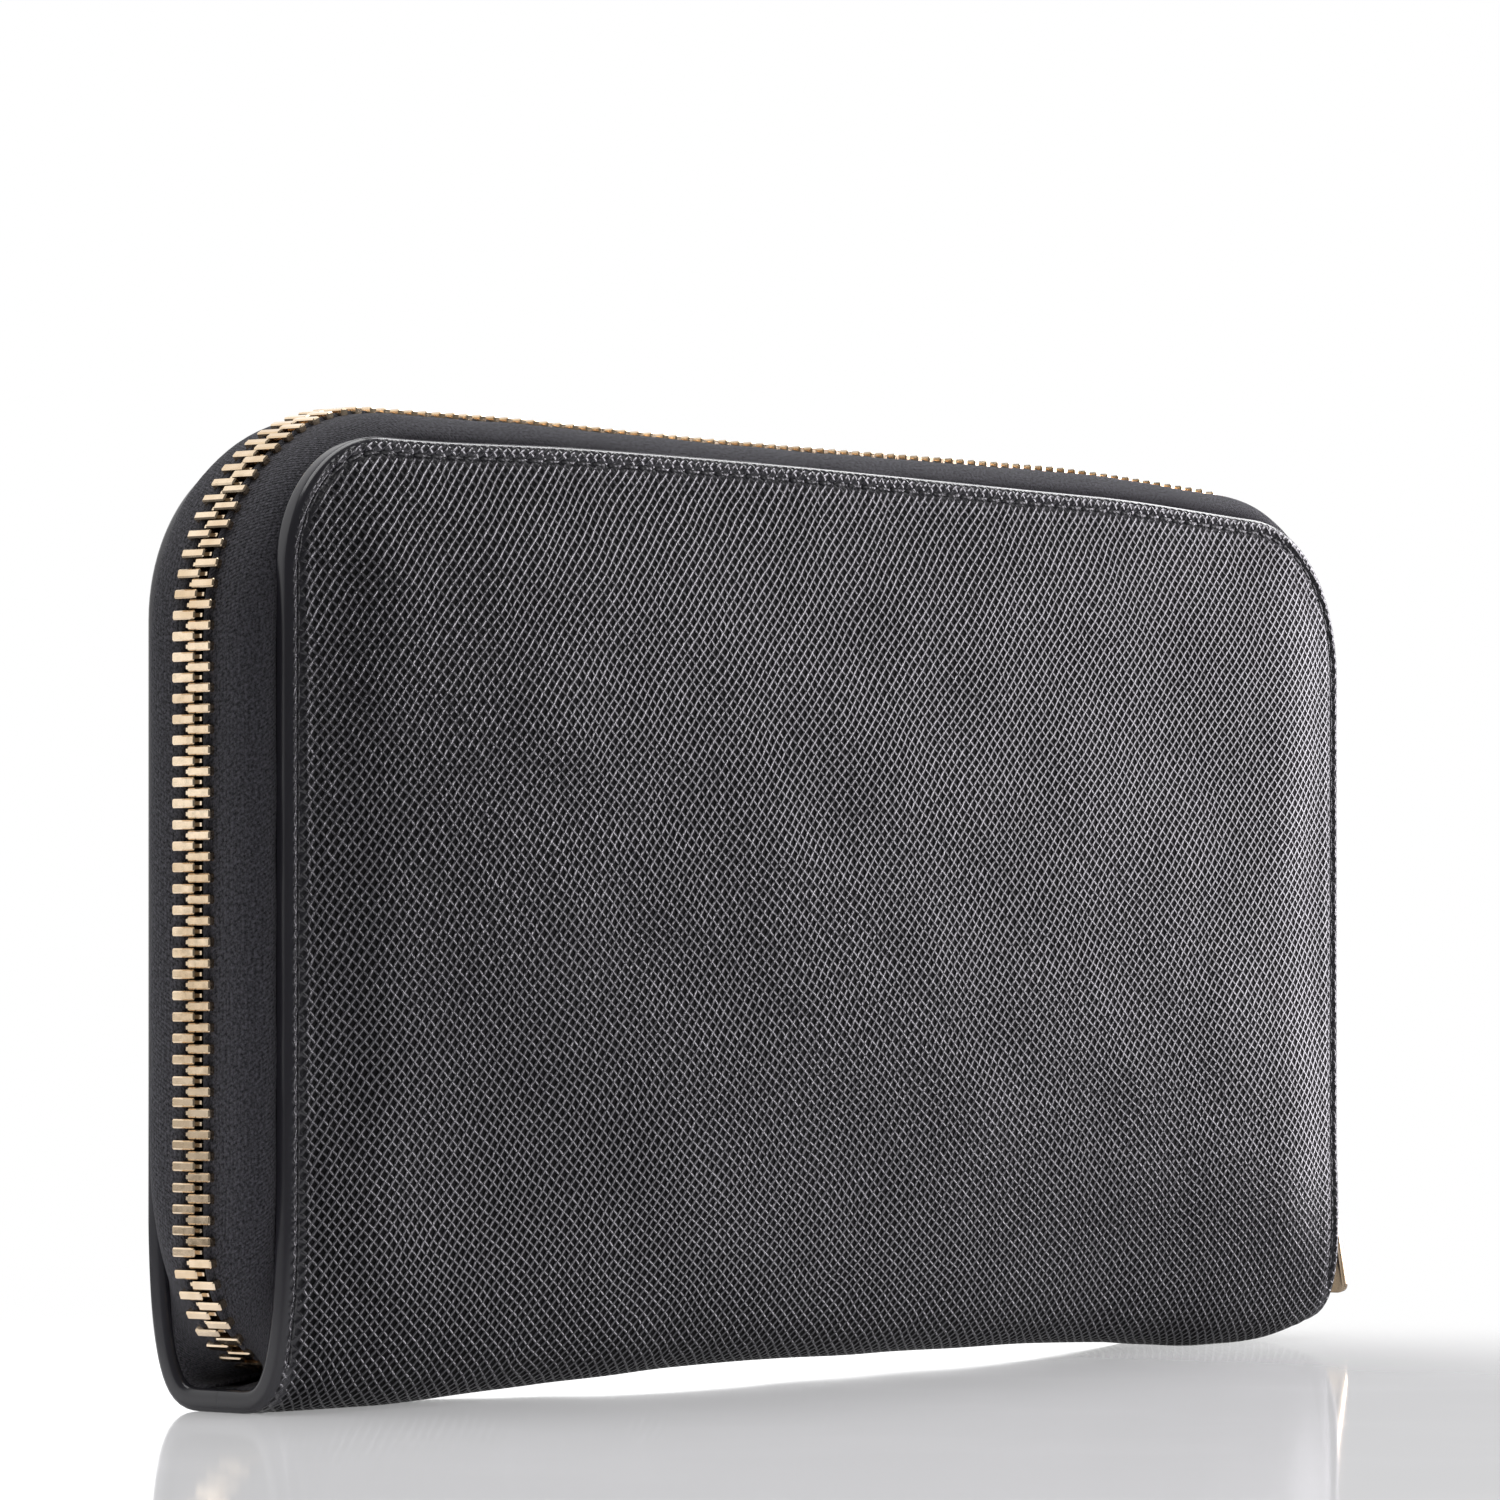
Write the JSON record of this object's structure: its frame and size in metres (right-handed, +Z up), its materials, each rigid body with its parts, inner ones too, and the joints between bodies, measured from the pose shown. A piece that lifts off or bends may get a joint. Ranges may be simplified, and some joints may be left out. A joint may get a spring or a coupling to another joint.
{
  "type": "zip around wallet",
  "caption": "Long zip around wallet standing on its rounded spine, with hinged leather covers, a metal zip, card slots and a zipped coin pocket.",
  "frame": {"origin": "middle of the flat strip under the spine that the wallet stands on", "axes": "+X along the wallet towards the end with the zip slider, +Z up, front cover towards -Y"},
  "size_m": [0.2134, 0.021, 0.1091],
  "materials": {
    "embossed_leather": "black calf leather embossed with a fine cross-hatch, semi-gloss",
    "pocket_leather": "thin smooth black leather, satin",
    "lining_cloth": "black woven lining, matt",
    "zip_cloth": "black herringbone zip tape, matt",
    "stiffener": "grey-brown stiffener board, never seen",
    "zip_brass": "polished pale gold brass"
  },
  "bodies": {
    "root": {"spine_leather": "embossed_leather", "spine_board": "stiffener", "spine_lining": "lining_cloth", "coin_pocket_floor": "pocket_leather", "coin_pocket_left_side": "pocket_leather", "coin_pocket_right_side": "pocket_leather", "coin_pocket_keel": "pocket_leather", "coin_zip_stop": "zip_brass", "bottom_stop": "zip_brass", "front_coin_panel": "pocket_leather", "front_coin_zip_tape": "zip_cloth", "front_coin_teeth": "zip_brass", "front_tape_tail_left": "zip_cloth", "front_tape_tail_right": "zip_cloth", "front_teeth_tail": "zip_brass", "front_top_stop": "zip_brass", "front_left_gusset": "pocket_leather", "front_right_gusset": "pocket_leather", "rear_coin_panel": "pocket_leather", "rear_coin_zip_tape": "zip_cloth", "rear_coin_teeth": "zip_brass", "rear_tape_tail_left": "zip_cloth", "rear_tape_tail_right": "zip_cloth", "rear_teeth_tail": "zip_brass", "rear_top_stop": "zip_brass", "rear_left_gusset": "pocket_leather", "rear_right_gusset": "pocket_leather"},
    "front_cover": {"front_cover_leather": "embossed_leather", "front_cover_board": "stiffener", "front_cover_lining": "lining_cloth", "front_slip_pocket": "pocket_leather", "front_card_slot_1": "pocket_leather", "front_card_slot_2": "pocket_leather", "front_card_slot_3": "pocket_leather", "front_card_slot_4": "pocket_leather", "front_zip_tape": "zip_cloth", "front_teeth": "zip_brass", "front_teeth_right_end": "zip_brass"},
    "rear_cover": {"rear_cover_leather": "embossed_leather", "rear_cover_board": "stiffener", "rear_cover_lining": "lining_cloth", "rear_slip_pocket": "pocket_leather", "rear_card_slot_1": "pocket_leather", "rear_card_slot_2": "pocket_leather", "rear_card_slot_3": "pocket_leather", "rear_card_slot_4": "pocket_leather", "rear_zip_tape": "zip_cloth", "rear_teeth": "zip_brass", "rear_teeth_right_end": "zip_brass"},
    "slider": {"slider_body": "zip_brass", "slider_bridge": "zip_brass"},
    "pull": {"slider_pull": "zip_brass"},
    "coin_slider": {"coin_slider_body": "zip_brass", "coin_slider_bridge": "zip_brass"},
    "coin_pull": {"coin_slider_pull": "zip_brass"}
  },
  "joints": [
    {"name": "front_cover_open", "type": "hinge", "parent": "root", "child": "front_cover", "pos_m": [0, -0.007, 0.003], "axis": [1, 0, 0], "range_deg": [0, 32], "deforming": ["front_left_gusset", "front_right_gusset", "front_teeth_right_end", "rear_teeth_right_end"]},
    {"name": "rear_cover_open", "type": "hinge", "parent": "root", "child": "rear_cover", "pos_m": [0, 0.007, 0.003], "axis": [-1, 0, 0], "range_deg": [0, 32], "deforming": ["rear_left_gusset", "rear_right_gusset", "front_teeth_right_end", "rear_teeth_right_end"]},
    {"name": "slider_travel", "type": "slide", "parent": "front_cover", "child": "slider", "axis": [0, 0, 1], "range_m": [0, 0.051], "deforming": ["front_teeth_right_end", "rear_teeth_right_end"]},
    {"name": "pull_flip", "type": "hinge", "parent": "slider", "child": "pull", "pos_m": [0.10555, 0, 0.03], "axis": [0, -1, 0], "range_deg": [-8, 165]},
    {"name": "coin_slider_travel", "type": "slide", "parent": "root", "child": "coin_slider", "axis": [-1, 0, 0], "range_m": [0, 0.15], "deforming": ["front_coin_teeth", "rear_coin_teeth"]},
    {"name": "coin_pull_flip", "type": "hinge", "parent": "coin_slider", "child": "coin_pull", "pos_m": [0.074, 0, 0.08475], "axis": [0, -1, 0], "range_deg": [0, 170]}
  ],
  "couplings": [
    {"joint": "rear_cover_open", "follows": "front_cover_open", "ratio": 1}
  ]
}
